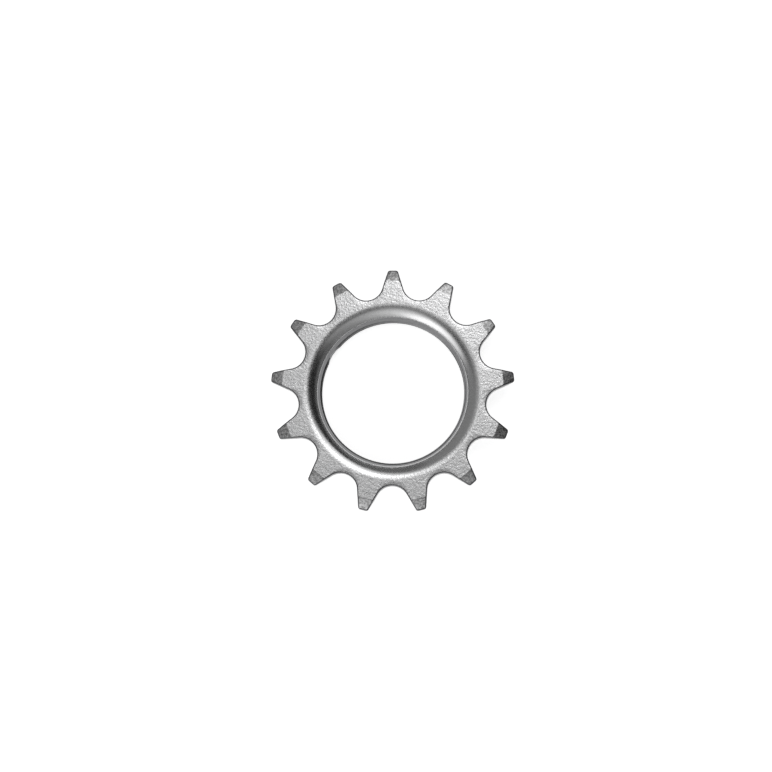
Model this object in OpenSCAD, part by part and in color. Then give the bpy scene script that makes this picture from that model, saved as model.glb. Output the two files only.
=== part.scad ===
// A screw-on cog for a single-speed bicycle hub: one piece of steel, turned to a stepped
// blank and then cut with the gaps that leave its teeth standing.
// It lies on its collar, with the face that carries the curved mouth upward. The axis of the
// bore is Z, the seat of the collar is at Z = 0, and one tooth points along +Y.

/* [Teeth] */
// Number of teeth round the cog
tooth_count = 13; // [13:1:22]
// Distance between two neighbouring rollers of the chain
chain_pitch = 12.7; // [12.6:0.05:12.8]
// Radius of the round seat that a roller drops into
seat_r = 4; // [3.9:0.05:4.2]
// Slope of a tooth's flank against the middle line of that tooth, in degrees
flank_slope = 17; // [15:0.5:18]
// Height of a tooth's tip above the pitch circle
tip_rise = 2.6; // [2:0.1:2.8]
// Radius that rounds the two corners of a tooth's tip
tip_corner_r = 0.65; // [0.3:0.05:0.8]
// Thickness of the plate that the teeth stand on
plate_t = 3; // [2.6:0.1:3.4]
// Width of the turned bevel on each face of the tips, along the radius
bevel_w = 2.7; // [1.5:0.1:3.5]
// Depth of that bevel at the tip, on each face
bevel_d = 0.95; // [0.4:0.05:1.1]

/* [Threaded bore] */
// Diameter across the crests of the hub thread
crest_d = 34; // [32:0.1:34.2]
// Width of the lead-in cone that starts the thread at the front, along the radius
lead_in_w = 0.9; // [0.6:0.1:1.2]
// Depth of that lead-in cone
lead_in_d = 1.6; // [0.8:0.1:2]
// Leg of the chamfer that ends the thread at the seat
rear_chamfer = 0.7; // [0.4:0.1:1]

/* [Curved mouth] */
// Radius of the round that leads from the front face into the bore
mouth_r = 3.9; // [3:0.1:4.2]
// Slope at which the round ends above the lead-in cone, in degrees
mouth_sweep = 50; // [40:1:60]

/* [Collar] */
// Wall of the collar, from the thread's crests to its outside
collar_wall = 4.1; // [3:0.1:4.3]
// Height of the collar behind the tooth plate
collar_h = 3.8; // [2:0.1:5]
// Leg of the chamfer round the collar's outer edge
collar_chamfer = 0.5; // [0.2:0.1:0.8]
// Radius of the fillet where the collar meets the tooth plate
collar_fillet = 0.5; // [0.2:0.1:0.6]

/* [Hidden] */
$fn = 96;
// Distance by which a cut runs past the face that it opens
past = 1;
half_step = 180 / tooth_count;
pitch_r = chain_pitch / 2 / sin(half_step);
tip_r = pitch_r + tip_rise;
bevel_r = tip_r - bevel_w;
crest_r = crest_d / 2;
collar_r = crest_r + collar_wall;
width = collar_h + plate_t;
// Where the round of the mouth ends, and where it leaves the front face
crease_r = crest_r + lead_in_w;
mouth_start_r = crease_r + mouth_r * sin(mouth_sweep);
crease_z = width - mouth_r * (1 - cos(mouth_sweep));
crest_top_z = crease_z - lead_in_d;
// Half of the angle that a gap opens to: a flank leans away from the middle of its gap by this
gap_slope = half_step + flank_slope;
// Distance from the axis to the line that a flank lies on
flank_offset = chain_pitch / 2 * cos(flank_slope) + pitch_r * cos(half_step) * sin(flank_slope) - seat_r;
// Centre of the round on the left corner of the tooth along +Y, and the angle that it lies at
corner_lean = asin((flank_offset - tip_corner_r) / (tip_r - tip_corner_r)) - flank_slope;
corner_centre = (tip_r - tip_corner_r) * [-sin(corner_lean), cos(corner_lean)];
corner_steps = 8;

// Half section of the blank without its two rounds, from the axis outward
module straight_section() {
    polygon([
        [crest_r, rear_chamfer],
        [crest_r + rear_chamfer, 0],
        [collar_r - collar_chamfer, 0],
        [collar_r, collar_chamfer],
        [collar_r, collar_h],
        [bevel_r, collar_h],
        [tip_r, collar_h + bevel_d],
        [tip_r, width - bevel_d],
        [bevel_r, width],
        [crease_r, width],
        [crease_r, crease_z],
        [crest_r, crest_top_z]
    ]);
}

// What the round of the mouth takes off the inner corner of the front face
module mouth_waste() {
    difference() {
        translate([crease_r - past, crease_z])
            square([mouth_start_r - crease_r + past, width - crease_z + past]);
        translate([mouth_start_r, width - mouth_r])
            circle(mouth_r);
    }
}

// The concave fillet in the corner between the collar and the tooth plate
module fillet_section() {
    difference() {
        translate([collar_r - past, collar_h - collar_fillet])
            square([collar_fillet + past, collar_fillet + past]);
        translate([collar_r + collar_fillet, collar_h - collar_fillet])
            circle(collar_fillet);
    }
}

module blank() {
    rotate_extrude() {
        difference() {
            union() {
                straight_section();
                fillet_section();
            }
            mouth_waste();
        }
    }
}

// Turns a point of the tooth along +Y about the axis, by an angle in degrees
function turned(point, angle) = [
    point[0] * cos(angle) - point[1] * sin(angle),
    point[0] * sin(angle) + point[1] * cos(angle)
];

// One gap between two teeth, along +Y: the roller's seat, the straight flanks that leave it at
// a tangent, and the rounds that run from the flanks into the tips
module gap_outline() {
    side = [seat_r * cos(gap_slope), pitch_r - seat_r * sin(gap_slope)];
    // The round's points, from its end on the flank to its end on the tip
    corner = [
        for (i = [0 : corner_steps])
            let (angle = flank_slope + (90 - corner_lean - flank_slope) * i / corner_steps)
                corner_centre + tip_corner_r * [-cos(angle), sin(angle)]
    ];
    right = [for (point = corner) turned(point, -half_step)];
    outer = right[corner_steps] * (1 + past / tip_r);
    half = concat([side], right, [outer]);
    translate([0, pitch_r])
        circle(seat_r);
    polygon(concat(
        half,
        [for (i = [len(half) - 1 : -1 : 0]) [-half[i][0], half[i][1]]]
    ));
}

module cog() {
    color("silver")
        difference() {
            blank();
            for (i = [0 : tooth_count - 1])
                rotate([0, 0, (i + 0.5) * 2 * half_step])
                    translate([0, 0, -past])
                        linear_extrude(width + 2 * past)
                            gap_outline();
        }
}

cog();
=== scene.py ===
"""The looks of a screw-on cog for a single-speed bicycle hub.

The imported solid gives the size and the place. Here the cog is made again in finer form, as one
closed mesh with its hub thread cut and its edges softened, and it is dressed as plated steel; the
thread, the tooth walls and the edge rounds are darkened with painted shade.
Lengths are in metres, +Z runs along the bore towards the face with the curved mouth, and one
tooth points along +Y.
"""

import logging
import math
from dataclasses import dataclass
from enum import IntEnum
from typing import Iterable

import bmesh
import bpy
from mathutils import Matrix, Vector


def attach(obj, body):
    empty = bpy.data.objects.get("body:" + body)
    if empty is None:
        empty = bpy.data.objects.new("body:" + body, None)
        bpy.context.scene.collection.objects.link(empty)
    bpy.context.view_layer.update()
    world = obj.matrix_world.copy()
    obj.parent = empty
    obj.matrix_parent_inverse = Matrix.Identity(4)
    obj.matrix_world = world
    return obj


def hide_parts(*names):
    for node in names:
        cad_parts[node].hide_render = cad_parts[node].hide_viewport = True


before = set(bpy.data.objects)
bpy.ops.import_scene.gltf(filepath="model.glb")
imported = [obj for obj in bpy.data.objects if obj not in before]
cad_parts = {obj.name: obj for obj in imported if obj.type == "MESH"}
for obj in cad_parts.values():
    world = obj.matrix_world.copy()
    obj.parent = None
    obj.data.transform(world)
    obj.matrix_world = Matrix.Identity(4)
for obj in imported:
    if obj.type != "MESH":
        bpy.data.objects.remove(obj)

LOG = logging.getLogger("cog")
MM = 0.001
UP = Vector((0.0, 0.0, 1.0))
SIDE = Vector((1.0, 0.0, 0.0))


def add_object(name: str, data: bpy.types.ID) -> bpy.types.Object:
    """Makes an object and links it to the scene.

    Args:
        name: the object's name.
        data: its mesh, lamp or camera.

    Returns:
        The object.
    """
    obj = bpy.data.objects.new(name, data)
    bpy.context.scene.collection.objects.link(obj)
    return obj


def calculate(
    tree: bpy.types.NodeTree, operation: str, *values: bpy.types.NodeSocket | float
) -> bpy.types.NodeSocket:
    """Adds a step of arithmetic to a node tree.

    Args:
        tree: the nodes.
        operation: what is done with the values.
        values: numbers, or the outputs of other nodes.

    Returns:
        The result.
    """
    step = tree.nodes.new("ShaderNodeMath")
    step.operation = operation
    for entry, value in zip(step.inputs, values):
        if isinstance(value, bpy.types.NodeSocket):
            tree.links.new(value, entry)
        else:
            entry.default_value = value
    return step.outputs["Value"]


def direction(azimuth: float, off_axis: float) -> Vector:
    """Unit vector at an azimuth clockwise from +Y and an angle off straight up, both in degrees."""
    turn, tilt = math.radians(azimuth), math.radians(off_axis)
    return Vector((math.sin(tilt) * math.sin(turn), math.sin(tilt) * math.cos(turn), math.cos(tilt)))


class Region(IntEnum):
    """The surfaces of the cog, each with its own finish; the thread, flank and edge finishes are
    darkened as painted shade.
    """

    FACE = 0
    TIP = 1
    MOUTH = 2
    THREAD = 3
    FLANK = 4
    COLLAR = 5
    EDGE = 6
    LIP = 7


@dataclass(frozen=True)
class CogSizes:
    """The cog's own sizes, in metres and radians.

    They repeat the solid's. Only the mouth differs: its round is a little wider, and it starts
    with an eased lip.
    """

    teeth: int = 13
    chain_pitch: float = 12.7 * MM
    seat_r: float = 4.0 * MM
    flank_slope: float = math.radians(17.0)
    tip_rise: float = 2.6 * MM
    tip_corner_r: float = 0.65 * MM
    plate_t: float = 3.0 * MM
    bevel_w: float = 2.7 * MM
    bevel_d: float = 0.95 * MM
    crest_r: float = 17.0 * MM
    lead_in_w: float = 0.9 * MM
    lead_in_d: float = 1.6 * MM
    rear_chamfer: float = 0.7 * MM
    mouth_r: float = 4.2 * MM
    mouth_sweep: float = math.radians(50.0)
    lip_r: float = 6.0 * MM
    lip_sweep: float = math.radians(6.0)
    worn_inside: float = 0.6 * MM
    worn_outside: float = 0.32 * MM
    collar_wall: float = 4.1 * MM
    collar_h: float = 3.8 * MM
    collar_chamfer: float = 0.5 * MM
    collar_fillet: float = 0.5 * MM
    thread_pitch: float = 25.4 / 24 * MM
    thread_depth: float = 0.5 * MM
    thread_slope: float = math.radians(30.0)
    thread_start: float = math.radians(35.0)
    nick_azimuth: float = math.radians(303.0)
    nick_spread: float = math.radians(8.0)
    nick_depth: float = 0.35 * MM
    edge_r: float = 0.3 * MM
    bevel_start_r: float = 0.14 * MM

    @property
    def half_step(self) -> float:
        """Half of the angle between two teeth."""
        return math.pi / self.teeth

    @property
    def pitch_r(self) -> float:
        """Radius of the circle that the chain's rollers sit on."""
        return self.chain_pitch / 2 / math.sin(self.half_step)

    @property
    def tip_r(self) -> float:
        """Radius to the tips of the teeth."""
        return self.pitch_r + self.tip_rise

    @property
    def bevel_r(self) -> float:
        """Radius at which the bevels of the tips start."""
        return self.tip_r - self.bevel_w

    @property
    def width(self) -> float:
        """Height of the front face above the seat of the collar."""
        return self.collar_h + self.plate_t

    @property
    def collar_r(self) -> float:
        """Outer radius of the collar."""
        return self.crest_r + self.collar_wall

    @property
    def crease_r(self) -> float:
        """Radius at which the mouth's round ends and the lead-in cone starts."""
        return self.crest_r + self.lead_in_w

    @property
    def crease_z(self) -> float:
        """Height at which the mouth's round ends."""
        lip = self.lip_r * (1 - math.cos(self.lip_sweep))
        return self.width - lip - self.mouth_r * (math.cos(self.lip_sweep) - math.cos(self.mouth_sweep))

    @property
    def mouth_start_r(self) -> float:
        """Radius at which the mouth's eased lip leaves the front face."""
        return self.lip_end_r + self.lip_r * math.sin(self.lip_sweep)

    @property
    def lip_end_r(self) -> float:
        """Radius at which the mouth's lip goes over into its round."""
        return self.crease_r + self.mouth_r * (math.sin(self.mouth_sweep) - math.sin(self.lip_sweep))

    @property
    def gap_slope(self) -> float:
        """Angle by which a flank leans away from the middle of its gap."""
        return self.half_step + self.flank_slope


@dataclass(frozen=True)
class MeshSteps:
    """How finely each round stretch is divided."""

    seat: int = 11
    flank: int = 3
    bevel_start: int = 2
    corner: int = 5
    tip: int = 2
    lip: int = 3
    mouth: int = 15
    fillet: int = 4
    crest: int = 2
    thread_flank: int = 3
    root: int = 2
    edge: int = 4

    @property
    def half_tooth(self) -> int:
        """Number of edges from the middle of a gap to the middle of a tooth."""
        return self.seat + 2 * self.flank + self.bevel_start + self.corner + self.tip


class Draft:
    """A piece of surface that is being drawn, from points to edges to faces."""

    # Points that lie nearer to each other than this are one
    MERGE = 2e-6

    def __init__(self) -> None:
        """Starts with nothing drawn."""
        self.bm = bmesh.new()

    def point(self, place: Vector) -> bmesh.types.BMVert:
        """Sets the point that a line starts from."""
        return bmesh.ops.create_vert(self.bm, co=place)["vert"][0]

    def line(self, start: bmesh.types.BMVert, end: Vector, parts: int = 1) -> bmesh.types.BMVert:
        """Draws a straight line.

        Args:
            start: the vertex to go on from.
            end: where the line ends.
            parts: number of edges.

        Returns:
            The line's last vertex.
        """
        origin = start.co.copy()
        last = start
        for i in range(1, parts + 1):
            last = bmesh.ops.extrude_vert_indiv(self.bm, verts=[last])["verts"][0]
            last.co = origin.lerp(end, i / parts)
        return last

    def arc(
        self, start: bmesh.types.BMVert, centre: Vector, axis: Vector, angle: float, parts: int
    ) -> bmesh.types.BMVert:
        """Draws an arc.

        Args:
            start: the vertex to go on from.
            centre: the arc's centre.
            axis: the axis that it turns about.
            angle: how far it turns, in radians.
            parts: number of edges.

        Returns:
            The arc's last vertex.
        """
        arm = start.co - centre
        last = start
        for i in range(1, parts + 1):
            last = bmesh.ops.extrude_vert_indiv(self.bm, verts=[last])["verts"][0]
            last.co = centre + Matrix.Rotation(angle * i / parts, 3, axis) @ arm
        return last

    def everything(self) -> list[bmesh.types.BMVert | bmesh.types.BMEdge | bmesh.types.BMFace]:
        """All that is drawn, as vertices, edges and faces."""
        return list(self.bm.verts) + list(self.bm.edges) + list(self.bm.faces)

    def turn(self, sectors: int, columns: int, region: Region, rise: float = 0.0) -> None:
        """Turns what is drawn once about the bore's axis.

        Args:
            sectors: number of like sectors; the first is turned, and the others are copied from it.
            columns: number of steps in a sector.
            region: the surface that it makes.
            rise: how far it climbs in the whole turn, as a thread does.
        """
        sector = math.tau / sectors
        climb = UP * rise / sectors
        bmesh.ops.spin(
            self.bm,
            geom=self.everything(),
            cent=(0, 0, 0),
            axis=UP,
            dvec=climb / columns,
            angle=sector,
            steps=columns,
        )
        bmesh.ops.spin(
            self.bm,
            geom=self.everything(),
            cent=(0, 0, 0),
            axis=UP,
            dvec=climb,
            angle=math.tau - sector,
            steps=sectors - 1,
            use_duplicate=True,
        )
        bmesh.ops.remove_doubles(self.bm, verts=self.bm.verts, dist=self.MERGE)
        self.mark(region)

    def mark(self, region: Region) -> None:
        """Gives all the faces to one surface."""
        for face in self.bm.faces:
            face.material_index = region

    def pour_into(self, target: bmesh.types.BMesh) -> None:
        """Adds what is drawn to another mesh, and ends this one.

        Args:
            target: the mesh that takes it.
        """
        mesh = bpy.data.meshes.new("draft")
        self.bm.to_mesh(mesh)
        self.bm.free()
        target.from_mesh(mesh)
        bpy.data.meshes.remove(mesh)


class CogMesh:
    """Builds the cog's mesh from its sizes."""

    # Edges that turn by more than this are shaded as sharp
    SHARP_ANGLE = math.radians(32)
    # Turns of thread drawn past both ends of the bore, and then pressed flat against them
    SPARE_TURNS = 3

    def __init__(self, sizes: CogSizes, steps: MeshSteps) -> None:
        """Keeps the sizes and starts an empty mesh.

        Args:
            sizes: the cog's sizes.
            steps: how finely its round stretches are divided.
        """
        self.sizes = sizes
        self.steps = steps
        self.columns = 2 * steps.half_tooth
        self.bevel_rings = [
            sizes.bevel_r + sizes.bevel_start_r * (2 * i / steps.bevel_start - 1)
            for i in range(steps.bevel_start + 1)
        ]
        self.bm = bmesh.new()

    def build(self, name: str) -> bpy.types.Object:
        """Makes the whole cog.

        Args:
            name: the object's name.

        Returns:
            The finished object, linked to the scene.
        """
        for draw in (self._mouth, self._thread, self._collar, self._teeth):
            draft = Draft()
            draw(draft)
            draft.pour_into(self.bm)
            LOG.info("%s drawn", draw.__name__.strip("_"))
        bmesh.ops.remove_doubles(self.bm, verts=self.bm.verts, dist=Draft.MERGE)
        bmesh.ops.recalc_face_normals(self.bm, faces=self.bm.faces)
        self._soften_edges()
        self._bevel_tips()
        return self._finish(name)

    def _mouth(self, draft: Draft) -> None:
        """Draws the mouth, from its lip on the front face down to the crease.

        Args:
            draft: where it is drawn.
        """
        size = self.sizes
        top = Vector((0, size.mouth_start_r, size.width))
        centre = top - UP * size.lip_r
        last = draft.arc(draft.point(top), centre, SIDE, size.lip_sweep, self.steps.lip)
        centre = centre.lerp(last.co, 1 - size.mouth_r / size.lip_r)
        draft.arc(last, centre, SIDE, size.mouth_sweep - size.lip_sweep, self.steps.mouth)
        draft.turn(size.teeth, self.columns, Region.MOUTH)
        for face in draft.bm.faces:
            past = face.calc_center_median().xy.length - size.lip_end_r
            if past > size.worn_outside:
                face.material_index = Region.FACE
            elif past > -size.worn_inside:
                face.material_index = Region.LIP

    def _collar(self, draft: Draft) -> None:
        """Draws the collar, from the end of the rear chamfer to the back of the tooth plate.

        Args:
            draft: where it is drawn.
        """
        size = self.sizes
        fillet = size.collar_fillet
        last = draft.point(Vector((0, size.crest_r + size.rear_chamfer, 0)))
        last = draft.line(last, Vector((0, size.collar_r - size.collar_chamfer, 0)))
        last = draft.line(last, Vector((0, size.collar_r, size.collar_chamfer)))
        last = draft.line(last, Vector((0, size.collar_r, size.collar_h - fillet)))
        centre = Vector((0, size.collar_r + fillet, size.collar_h - fillet))
        draft.arc(last, centre, SIDE, -math.pi / 2, self.steps.fillet)
        draft.turn(size.teeth, self.columns, Region.COLLAR)

    def _thread(self, draft: Draft) -> None:
        """Cuts the hub thread, with the lead-in cone above it and the chamfer below.

        Args:
            draft: where it is drawn.
        """
        size = self.sizes
        steps = self.steps
        depth = size.thread_depth
        drop = depth * math.tan(size.thread_slope)
        flat = size.thread_pitch / 2 - drop
        # Each leg of the form: its edges, its height, and how deep it ends
        legs = (
            (steps.crest, flat, 0.0),
            (steps.thread_flank, drop, depth),
            (steps.root, flat, depth),
            (steps.thread_flank, drop, 0.0),
        )
        z = -size.thread_pitch * (1 + size.thread_start / math.tau)
        last = draft.point(Vector((0, size.crest_r, z)))
        for _ in range(math.ceil(size.crease_z / size.thread_pitch) + self.SPARE_TURNS):
            for parts, rise, cut in legs:
                z += rise
                last = draft.line(last, Vector((0, size.crest_r + cut, z)), parts)
        draft.turn(size.teeth, self.columns, Region.THREAD, rise=size.thread_pitch)
        for vert in draft.bm.verts:
            z = min(max(vert.co.z, 0.0), size.crease_z)
            cuts = (self._lead_in_radius(z), self._rear_radius(z), self._nick_radius(vert.co))
            radius = max(vert.co.xy.length, *cuts)
            across = vert.co.xy.normalized() * radius
            vert.co = (across.x, across.y, z)
        bmesh.ops.remove_doubles(draft.bm, verts=draft.bm.verts, dist=Draft.MERGE)

    def _lead_in_radius(self, z: float) -> float:
        """Radius of the lead-in cone at a height."""
        size = self.sizes
        return size.crease_r - (size.crease_z - z) * size.lead_in_w / size.lead_in_d

    def _nick_radius(self, place: Vector) -> float:
        """Finds how far the filed end of the thread reaches, near where it starts.

        Args:
            place: a point of the thread.

        Returns:
            The radius that the file leaves there.
        """
        size = self.sizes
        away = abs(math.remainder(math.atan2(place.x, place.y) - size.nick_azimuth, math.tau))
        share = max(1 - away / size.nick_spread, 0.0)
        return size.crest_r + size.nick_depth * math.sin(share * math.pi / 2)

    def _rear_radius(self, z: float) -> float:
        """Radius of the rear chamfer at a height."""
        return self.sizes.crest_r + self.sizes.rear_chamfer - z

    def _half_outline(self, draft: Draft) -> list[bmesh.types.BMEdge]:
        """Draws the front face's outline, from the middle of a gap to the middle of a tooth.

        Args:
            draft: where it is drawn.

        Returns:
            The outline's edges.
        """
        size = self.sizes
        steps = self.steps
        level = UP * size.width
        roller = level + Vector((0, size.pitch_r, 0))
        # The flank's line lies at this distance from the axis, and the corner's round inside it
        flank_offset = (
            size.chain_pitch / 2 * math.cos(size.flank_slope)
            + size.pitch_r * math.cos(size.half_step) * math.sin(size.flank_slope)
            - size.seat_r
        )
        centre_r = size.tip_r - size.tip_corner_r
        lean = math.asin((flank_offset - size.tip_corner_r) / centre_r) - size.flank_slope
        at_tooth = Matrix.Rotation(-size.half_step, 3, "Z")
        centre = level + at_tooth @ Vector((-math.sin(lean), math.cos(lean), 0)) * centre_r
        arm = at_tooth @ Vector((-math.cos(size.flank_slope), math.sin(size.flank_slope), 0))
        sweep = math.pi / 2 - size.flank_slope - lean
        last = draft.point(roller - Vector((0, size.seat_r, 0)))
        last = draft.arc(last, roller, UP, math.pi / 2 - size.gap_slope, steps.seat)
        end = centre + arm * size.tip_corner_r
        for radius in self.bevel_rings:
            crossing = last.co.lerp(end, self._share_at_radius(last.co, end, radius))
            last = draft.line(last, crossing, steps.flank if radius == self.bevel_rings[0] else 1)
        last = draft.line(last, end, steps.flank)
        last = draft.arc(last, centre, UP, -sweep, steps.corner)
        draft.arc(last, level, UP, -lean, steps.tip)
        return list(draft.bm.edges)

    def _teeth(self, draft: Draft) -> None:
        """Draws the tooth plate: half a tooth's outline, wall and faces, and then all its copies.

        Args:
            draft: where it is drawn.
        """
        size = self.sizes
        outline = self._half_outline(draft)
        made = bmesh.ops.extrude_edge_only(draft.bm, edges=outline)["geom"]
        low = [item for item in made if isinstance(item, bmesh.types.BMVert)]
        bmesh.ops.translate(draft.bm, verts=low, vec=-UP * size.plate_t)
        draft.mark(Region.FLANK)
        self._face(draft, outline, Vector((0, size.mouth_start_r, size.width)))
        edges = [item for item in made if isinstance(item, bmesh.types.BMEdge)]
        lower = [edge for edge in edges if set(edge.verts) <= set(low)]
        self._face(draft, lower, Vector((0, size.collar_r + size.collar_fillet, size.collar_h)))
        bmesh.ops.mirror(draft.bm, geom=draft.everything(), axis="X", merge_dist=Draft.MERGE)
        tooth_forward = Matrix.Rotation(size.half_step, 3, "Z")
        bmesh.ops.rotate(draft.bm, verts=draft.bm.verts, cent=(0, 0, 0), matrix=tooth_forward)
        bmesh.ops.spin(
            draft.bm,
            geom=draft.everything(),
            cent=(0, 0, 0),
            axis=UP,
            angle=math.tau - 2 * size.half_step,
            steps=size.teeth - 1,
            use_duplicate=True,
        )
        bmesh.ops.remove_doubles(draft.bm, verts=draft.bm.verts, dist=Draft.MERGE)

    def _face(self, draft: Draft, outline: list[bmesh.types.BMEdge], start: Vector) -> None:
        """Fills a flat face of half a tooth, between its outline and a circle about the bore.

        Args:
            draft: the tooth plate.
            outline: the outline's edges, from the middle of a gap to the middle of a tooth.
            start: the circle's point in the middle of that gap.
        """
        before = set(draft.bm.edges)
        draft.arc(draft.point(start), UP * start.z, UP, -self.sizes.half_step, self.steps.half_tooth)
        circle = [e for e in draft.bm.edges if e not in before]
        for face in bmesh.ops.bridge_loops(draft.bm, edges=outline + circle)["faces"]:
            face.material_index = Region.FACE

    def _bevel_tips(self) -> None:
        """Turns the bevels on both faces of the tips, with a small round where they start."""
        size = self.sizes
        for radius in self.bevel_rings:
            self._split_at_radius(radius)
        middle = size.collar_h + size.plate_t / 2
        for vert in self.bm.verts:
            drop = self._bevel_drop(vert.co.xy.length)
            vert.co.z += -drop if vert.co.z > middle else drop
        for face in self.bm.faces:
            over = face.calc_center_median().xy.length - size.bevel_r
            # The ring where the bevels start gets the dark edge finish, a painted shadow line along the
            # crease.
            if face.material_index == Region.FACE and over > 0:
                face.material_index = Region.TIP if over > size.bevel_start_r else Region.EDGE

    def _bevel_drop(self, radius: float) -> float:
        """Finds how deep the tips' bevel lies, along a parabola where it starts.

        Args:
            radius: distance from the axis.

        Returns:
            The depth below the face.
        """
        size = self.sizes
        over = radius - size.bevel_r
        if abs(over) < size.bevel_start_r:
            over = (over + size.bevel_start_r) ** 2 / (4 * size.bevel_start_r)
        return max(over, 0.0) * size.bevel_d / size.bevel_w

    def _split_at_radius(self, radius: float) -> None:
        """Cuts the faces of the tooth plate along a circle about the axis.

        Args:
            radius: the circle's radius.
        """
        # A vertex that is nearer to the circle than this lies on the cut
        near = self.sizes.edge_r / 2
        faces = [f for f in self.bm.faces if f.material_index == Region.FACE]
        on_cut = {v for f in faces for v in f.verts if abs(v.co.xy.length - radius) < near}
        for edge in {e for f in faces for e in f.edges}:
            start, end = edge.verts
            low, high = start.co.xy.length - radius, end.co.xy.length - radius
            if min(low, high) < -near and max(low, high) > near:
                share = self._share_at_radius(start.co, end.co, radius)
                on_cut.add(bmesh.utils.edge_split(edge, start, share)[1])
        bmesh.ops.connect_verts(self.bm, verts=list(on_cut))

    @staticmethod
    def _share_at_radius(start: Vector, end: Vector, radius: float) -> float:
        """Finds how far along a straight line it crosses a circle about the axis.

        Args:
            start: where the line starts.
            end: where it ends, on the other side of the circle.
            radius: the circle's radius.

        Returns:
            The share of the line's length, from its start.
        """
        line = end.xy - start.xy
        middle = start.xy.dot(line)
        excess = start.xy.length_squared - radius * radius
        root = math.sqrt(middle * middle - line.length_squared * excess)
        return (-middle + (root if excess < 0 else -root)) / line.length_squared

    def _soften_edges(self) -> None:
        """Rounds the sharp outline of both faces of the tooth plate."""
        bmesh.ops.bevel(
            self.bm,
            geom=self._edges_between(Region.FLANK, Region.FACE),
            offset=self.sizes.edge_r,
            offset_type="OFFSET",
            affect="EDGES",
            segments=self.steps.edge,
            profile=0.5,
            # The rounds get the dark edge finish, which paints shade along the outline.
            material=Region.EDGE,
            clamp_overlap=False,
        )

    def _edges_between(self, one: Region, other: Region) -> list[bmesh.types.BMEdge]:
        """Finds the edges where two kinds of surface meet."""
        return [e for e in self.bm.edges if {f.material_index for f in e.link_faces} == {one, other}]

    def _finish(self, name: str) -> bpy.types.Object:
        """Writes the mesh to an object with smooth, face-weighted shading.

        Args:
            name: the object's name.

        Returns:
            The object.
        """
        for face in self.bm.faces:
            face.smooth = True
        mesh = bpy.data.meshes.new(name)
        self.bm.to_mesh(mesh)
        self.bm.free()
        mesh.set_sharp_from_angle(angle=self.SHARP_ANGLE)
        obj = add_object(name, mesh)
        weighted = obj.modifiers.new("even_shading", "WEIGHTED_NORMAL")
        weighted.mode = "FACE_AREA"
        weighted.keep_sharp = True
        return obj


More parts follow.
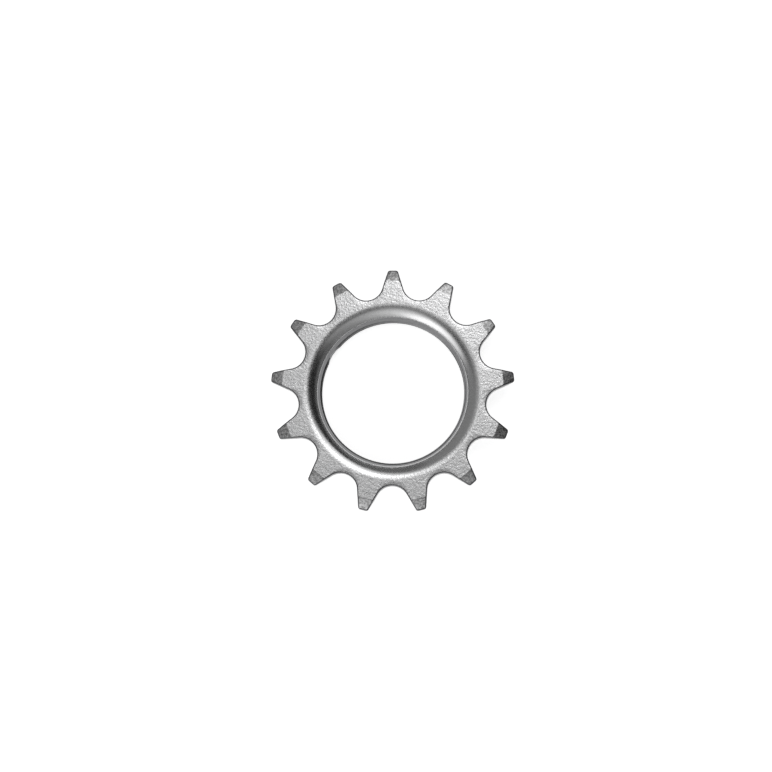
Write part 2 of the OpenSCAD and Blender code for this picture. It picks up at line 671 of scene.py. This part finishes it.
@dataclass(frozen=True)
class SteelFinish:
    """One finish of the plated steel: its colour, its gloss and its fine relief.

    The peel is the soft relief of the plating, with darker speckles in its lows. The pits are the
    finer grain in it, and the turned rings are what a lathe tool leaves.
    """

    # Most of a noise pattern lies between these two values
    NOISE_LOW = 0.35
    NOISE_HIGH = 0.65
    PEEL_DETAIL = 2.0
    PIT_DETAIL = 3.0
    # A wave pattern of scale 1 runs through this many radians in a metre
    WAVE_RATE = 20
    WAVE_DISTORTION = 1.5
    WAVE_DETAIL = 2.0

    name: str
    colour: tuple[float, float, float] = (0.66, 0.66, 0.665)
    speckle: float = 0.1
    roughness: float = 0.3
    roughness_spread: float = 0.08
    peel_size: float = 0.5 * MM
    peel_height: float = 0.05 * MM
    pit_size: float = 0.22 * MM
    pit_height: float = 0.02 * MM
    turned_pitch: float = 0.0
    turned_height: float = 0.0

    def material(self) -> bpy.types.Material:
        """Makes the finish's material.

        Returns:
            The material, with its grain in Object coordinates.
        """
        material = bpy.data.materials.new(self.name)
        material.use_nodes = True
        tree = material.node_tree
        shader = tree.nodes["Principled BSDF"]
        shader.inputs["Metallic"].default_value = 1.0
        place = tree.nodes.new("ShaderNodeTexCoord").outputs["Object"]
        peel = self._noise(tree, place, self.peel_size, self.PEEL_DETAIL)
        pits = self._noise(tree, place, self.pit_size, self.PIT_DETAIL)
        bump = self._bump(tree, peel, self.peel_height, None)
        bump = self._bump(tree, pits, self.pit_height, bump)
        if self.turned_pitch > 0:
            bump = self._bump(tree, self._turned(tree, place), self.turned_height, bump)
        tree.links.new(bump, shader.inputs["Normal"])
        low, high = self.roughness - self.roughness_spread, self.roughness + self.roughness_spread
        tree.links.new(self._stretch(tree, pits, low, high), shader.inputs["Roughness"])
        tint = tree.nodes.new("ShaderNodeMix")
        tint.data_type = "RGBA"
        dark = [(1 - self.speckle) * channel for channel in self.colour]
        tint.inputs["A"].default_value = (*dark, 1)
        tint.inputs["B"].default_value = (*self.colour, 1)
        tree.links.new(self._stretch(tree, peel, 0.0, 1.0), tint.inputs["Factor"])
        tree.links.new(tint.outputs["Result"], shader.inputs["Base Color"])
        return material

    def _stretch(
        self, tree: bpy.types.NodeTree, pattern: bpy.types.NodeSocket, low: float, high: float
    ) -> bpy.types.NodeSocket:
        """Stretches a noise pattern over a range of values.

        Args:
            tree: the material's nodes.
            pattern: the noise.
            low: the value of its lows.
            high: the value of its highs.

        Returns:
            The stretched value.
        """
        stretch = tree.nodes.new("ShaderNodeMapRange")
        stretch.inputs["From Min"].default_value = self.NOISE_LOW
        stretch.inputs["From Max"].default_value = self.NOISE_HIGH
        stretch.inputs["To Min"].default_value = low
        stretch.inputs["To Max"].default_value = high
        tree.links.new(pattern, stretch.inputs["Value"])
        return stretch.outputs["Result"]

    @staticmethod
    def _noise(
        tree: bpy.types.NodeTree, place: bpy.types.NodeSocket, size: float, detail: float
    ) -> bpy.types.NodeSocket:
        """Adds a noise pattern.

        Args:
            tree: the material's nodes.
            place: the coordinates to read.
            size: the size of its blobs.
            detail: how many finer layers it has.

        Returns:
            Its value, around a half.
        """
        noise = tree.nodes.new("ShaderNodeTexNoise")
        noise.inputs["Scale"].default_value = 1 / size
        noise.inputs["Detail"].default_value = detail
        tree.links.new(place, noise.inputs["Vector"])
        return noise.outputs["Fac"]

    def _turned(self, tree: bpy.types.NodeTree, place: bpy.types.NodeSocket) -> bpy.types.NodeSocket:
        """Adds the fine rings that a lathe tool leaves.

        Args:
            tree: the material's nodes.
            place: the coordinates to read.

        Returns:
            The rings' height, from 0 to 1.
        """
        wave = tree.nodes.new("ShaderNodeTexWave")
        wave.wave_type = "RINGS"
        wave.rings_direction = "Z"
        wave.inputs["Scale"].default_value = 1 / self.turned_pitch / self.WAVE_RATE * math.tau
        wave.inputs["Distortion"].default_value = self.WAVE_DISTORTION
        wave.inputs["Detail"].default_value = self.WAVE_DETAIL
        tree.links.new(place, wave.inputs["Vector"])
        return wave.outputs["Fac"]

    @staticmethod
    def _bump(
        tree: bpy.types.NodeTree,
        height: bpy.types.NodeSocket,
        depth: float,
        under: bpy.types.NodeSocket | None,
    ) -> bpy.types.NodeSocket:
        """Adds a layer of relief.

        Args:
            tree: the material's nodes.
            height: the pattern, from 0 to 1.
            depth: the relief's height.
            under: the layer below, if there is one.

        Returns:
            The changed normal.
        """
        bump = tree.nodes.new("ShaderNodeBump")
        bump.inputs["Strength"].default_value = 1.0
        bump.inputs["Distance"].default_value = depth
        tree.links.new(height, bump.inputs["Height"])
        if under is not None:
            tree.links.new(under, bump.inputs["Normal"])
        return bump.outputs["Normal"]


FINISHES: dict[Region, SteelFinish] = {
    Region.FACE: SteelFinish("plated_face", roughness=0.28, peel_height=0.046 * MM),
    Region.TIP: SteelFinish(
        "turned_tip",
        colour=(0.86, 0.86, 0.865),
        speckle=0.55,
        peel_height=0.032 * MM,
        pit_height=0.01 * MM,
        turned_pitch=0.12 * MM,
        turned_height=0.002 * MM,
    ),
    Region.MOUTH: SteelFinish(
        "turned_mouth",
        roughness=0.22,
        peel_height=0.004 * MM,
        pit_height=0.002 * MM,
    ),
    Region.LIP: SteelFinish(
        "worn_lip",
        colour=(0.72, 0.72, 0.725),
        speckle=0.18,
        roughness=0.25,
        peel_height=0.02 * MM,
        pit_height=0.01 * MM,
    ),
    # The thread's near-black colour is painted shade: it keeps the bore dark where it would mirror the
    # white floor.
    Region.THREAD: SteelFinish(
        "thread_painted_shade",
        colour=(0.225, 0.225, 0.23),
        roughness=0.36,
        peel_height=0.004 * MM,
        pit_height=0.003 * MM,
    ),
    # The flanks' dark colour is painted shade on the tooth walls, which darkens the outline.
    Region.FLANK: SteelFinish(
        "flank_painted_shade",
        colour=(0.25, 0.25, 0.255),
        roughness=0.32,
        peel_height=0.015 * MM,
        pit_height=0.008 * MM,
    ),
    Region.COLLAR: SteelFinish(
        "turned_collar",
        colour=(0.45, 0.45, 0.455),
        roughness=0.28,
        peel_height=0.008 * MM,
        pit_height=0.004 * MM,
        turned_pitch=0.15 * MM,
        turned_height=0.002 * MM,
    ),
    # The edge finish's dark colour is painted shade along the rounded outline and the crease where the
    # tip bevels start.
    Region.EDGE: SteelFinish(
        "edge_painted_shade",
        colour=(0.13, 0.13, 0.135),
        roughness=0.36,
        peel_height=0.02 * MM,
        pit_height=0.01 * MM,
    ),
}


@dataclass(frozen=True)
class Cog:
    """The cog as one dressed piece."""

    sizes: CogSizes
    steps: MeshSteps

    def make(self) -> bpy.types.Object:
        """Builds and dresses the cog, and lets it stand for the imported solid.

        Returns:
            The cog's object.
        """
        cog = CogMesh(self.sizes, self.steps).build("single_speed_cog")
        for region in Region:
            cog.data.materials.append(FINISHES[region].material())
        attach(cog, "root")
        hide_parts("cog")
        return cog


@dataclass(frozen=True)
class Softbox:
    """A round soft lamp near the cog, aimed at it.

    Its angles are in degrees; the spread is half of the angle that it fills, seen from the cog.
    """

    name: str
    azimuth: float
    off_axis: float
    spread: float
    brightness: float
    distance: float = 0.38

    def place(self) -> bpy.types.Object:
        """Adds the lamp.

        Returns:
            The lamp's object.
        """
        radius = self.distance * math.tan(math.radians(self.spread))
        data = bpy.data.lights.new(self.name, "AREA")
        data.shape = "DISK"
        data.size = 2 * radius
        # The power at which a disc of this radius looks as bright as asked
        data.energy = self.brightness * math.pi * math.pi * radius * radius
        lamp = add_object(self.name, data)
        lamp.location = direction(self.azimuth, self.off_axis) * self.distance
        lamp.rotation_euler = lamp.location.to_track_quat("Z", "Y").to_euler()
        return lamp


@dataclass(frozen=True)
class Wall:
    """A round patch of the room that is lighter or darker than the rest of it.

    Its angles are in degrees; its edge fades from spread - softness to spread + softness.
    """

    name: str
    azimuth: float
    off_axis: float
    spread: float
    softness: float
    brightness: float

    def paint(self, tree: bpy.types.NodeTree, way: bpy.types.NodeSocket) -> bpy.types.NodeSocket:
        """Adds the patch to the world's nodes.

        Args:
            tree: the world's nodes.
            way: the direction that is looked up.

        Returns:
            The patch's share of the brightness in that direction.
        """
        along = tree.nodes.new("ShaderNodeVectorMath")
        along.operation = "DOT_PRODUCT"
        along.inputs[1].default_value = direction(self.azimuth, self.off_axis)
        tree.links.new(way, along.inputs[0])
        angle = calculate(tree, "ARCCOSINE", along.outputs["Value"])
        fade = tree.nodes.new("ShaderNodeMapRange")
        fade.label = self.name
        fade.interpolation_type = "SMOOTHSTEP"
        fade.inputs["From Min"].default_value = math.radians(self.spread - self.softness)
        fade.inputs["From Max"].default_value = math.radians(self.spread + self.softness)
        fade.inputs["To Min"].default_value = self.brightness
        fade.inputs["To Max"].default_value = 0.0
        tree.links.new(angle, fade.inputs["Value"])
        return fade.outputs["Result"]


class Studio:
    """The floor, the lamps, the surroundings and the camera."""

    # The width that the picture takes in, and the pixel that the middle of the front face lies at
    FRAME_W = 183.6 * MM
    CENTRE_PX = (392.35, 391.05)
    PHOTO_PX = 772
    CAMERA_AZIMUTH = 160.0
    CAMERA_OFF_AXIS = 7.0
    CAMERA_DISTANCE = 0.9
    CAMERA_ROLL = math.radians(0.2)
    SENSOR_W = 36.0
    CLIP_START = 0.01
    CLIP_END = 20.0
    FLOOR_SIZE = 10.0
    # How bright the floor looks by itself, and the paint that takes the shadow
    FLOOR_GLOW = 0.76
    FLOOR_PAINT = (0.8, 0.8, 0.8, 1.0)
    SOFTBOXES = (
        Softbox("key_softbox", azimuth=15, off_axis=21, spread=10.3, brightness=2.37),
        Softbox("top_softbox", azimuth=299, off_axis=6.9, spread=6.4, brightness=0.71),
    )
    ROOM_BRIGHTNESS = 0.15
    LEAST_BRIGHTNESS = 0.02
    WALLS = (
        Wall("pale_ceiling", azimuth=26, off_axis=29, spread=24, softness=8, brightness=0.83),
        Wall("white_front", azimuth=189, off_axis=66, spread=23, softness=25, brightness=2.1),
        Wall("grey_front", azimuth=184, off_axis=68, spread=20, softness=23, brightness=-1.5),
        Wall("black_right", azimuth=63, off_axis=35, spread=19, softness=34, brightness=-0.96),
        Wall("white_left", azimuth=223, off_axis=75, spread=25, softness=12, brightness=0.98),
        Wall("grey_left", azimuth=232, off_axis=95, spread=106, softness=2, brightness=0.11),
        Wall("pale_right", azimuth=118, off_axis=31, spread=14, softness=18, brightness=0.31),
        Wall("pale_window", azimuth=32, off_axis=38, spread=12, softness=7, brightness=0.75),
        Wall("grey_window", azimuth=243, off_axis=38, spread=14, softness=12, brightness=-0.17),
        Wall("pale_lamp", azimuth=285, off_axis=27, spread=7, softness=7, brightness=0.18),
        Wall("grey_back", azimuth=150, off_axis=21, spread=7, softness=6, brightness=-0.15),
    )

    def floor(self) -> bpy.types.Object:
        """Adds the white floor that the cog lies on.

        Returns:
            The floor's object.
        """
        bm = bmesh.new()
        bmesh.ops.create_grid(bm, x_segments=1, y_segments=1, size=self.FLOOR_SIZE / 2)
        mesh = bpy.data.meshes.new("floor")
        bm.to_mesh(mesh)
        bm.free()
        floor = add_object("floor", mesh)
        mesh.materials.append(self._floor_material())
        return floor

    def _floor_material(self) -> bpy.types.Material:
        """Makes the floor's white, which still takes the cog's shadow.

        Returns:
            The floor's material.
        """
        material = bpy.data.materials.new("white_floor")
        material.use_nodes = True
        tree = material.node_tree
        tree.nodes.remove(tree.nodes["Principled BSDF"])
        path = tree.nodes.new("ShaderNodeLightPath")
        seen = calculate(tree, "MAXIMUM", path.outputs["Is Camera Ray"], path.outputs["Is Glossy Ray"])
        glow = tree.nodes.new("ShaderNodeEmission")
        tree.links.new(calculate(tree, "MULTIPLY", seen, self.FLOOR_GLOW), glow.inputs["Strength"])
        paint = tree.nodes.new("ShaderNodeBsdfDiffuse")
        paint.inputs["Color"].default_value = self.FLOOR_PAINT
        both = tree.nodes.new("ShaderNodeAddShader")
        tree.links.new(glow.outputs["Emission"], both.inputs[0])
        tree.links.new(paint.outputs["BSDF"], both.inputs[1])
        tree.links.new(both.outputs["Shader"], tree.nodes["Material Output"].inputs["Surface"])
        return material

    def surroundings(self) -> None:
        """Makes the dim room with its lit walls, which the steel mirrors."""
        world = bpy.data.worlds.new("room")
        bpy.context.scene.world = world
        world.use_nodes = True
        tree = world.node_tree
        way = tree.nodes.new("ShaderNodeTexCoord").outputs["Generated"]
        total = self.ROOM_BRIGHTNESS
        for wall in self.WALLS:
            total = calculate(tree, "ADD", wall.paint(tree, way), total)
        total = calculate(tree, "MAXIMUM", total, self.LEAST_BRIGHTNESS)
        tree.links.new(total, tree.nodes["Background"].inputs["Color"])

    def lamps(self) -> None:
        """Adds the soft lamps."""
        for box in self.SOFTBOXES:
            box.place()
            LOG.info("lamp %s", box.name)

    def camera(self, middle: Vector) -> None:
        """Adds the camera at the photograph's angle.

        Args:
            middle: the point that lies at CENTRE_PX in the picture.
        """
        data = bpy.data.cameras.new("camera")
        data.sensor_width = self.SENSOR_W
        data.lens = data.sensor_width * self.CAMERA_DISTANCE / self.FRAME_W
        data.clip_start = self.CLIP_START
        data.clip_end = self.CLIP_END
        camera = add_object("camera", data)
        toward = direction(self.CAMERA_AZIMUTH, self.CAMERA_OFF_AXIS)
        right = Vector((0, 1, 0)).cross(toward).normalized()
        up = toward.cross(right)
        turn = Matrix((right, up, toward)).transposed() @ Matrix.Rotation(self.CAMERA_ROLL, 3, "Z")
        scale = self.FRAME_W / self.PHOTO_PX
        across = (self.CENTRE_PX[0] - self.PHOTO_PX / 2) * scale
        down = (self.CENTRE_PX[1] - self.PHOTO_PX / 2) * scale
        target = middle + turn @ Vector((-across, down, 0))
        camera.matrix_world = Matrix.Translation(target + toward * self.CAMERA_DISTANCE) @ turn.to_4x4()
        bpy.context.scene.camera = camera

    def build(self, middle: Vector) -> None:
        """Makes the whole studio.

        Args:
            middle: the point that the camera frames.
        """
        self.floor()
        self.surroundings()
        self.lamps()
        self.camera(middle)
        bpy.context.scene.view_settings.view_transform = "Standard"


def main() -> None:
    """Builds the cog and its studio."""
    logging.basicConfig(level=logging.INFO, format="%(name)s: %(message)s")
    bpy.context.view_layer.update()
    sizes = CogSizes()
    cog = Cog(sizes, MeshSteps()).make()
    cog.data.calc_loop_triangles()
    LOG.info("%s has %d triangles", cog.name, len(cog.data.loop_triangles))
    Studio().build(Vector((0, 0, sizes.width)))
    LOG.info("studio ready")


if __name__ == "__main__":
    main()
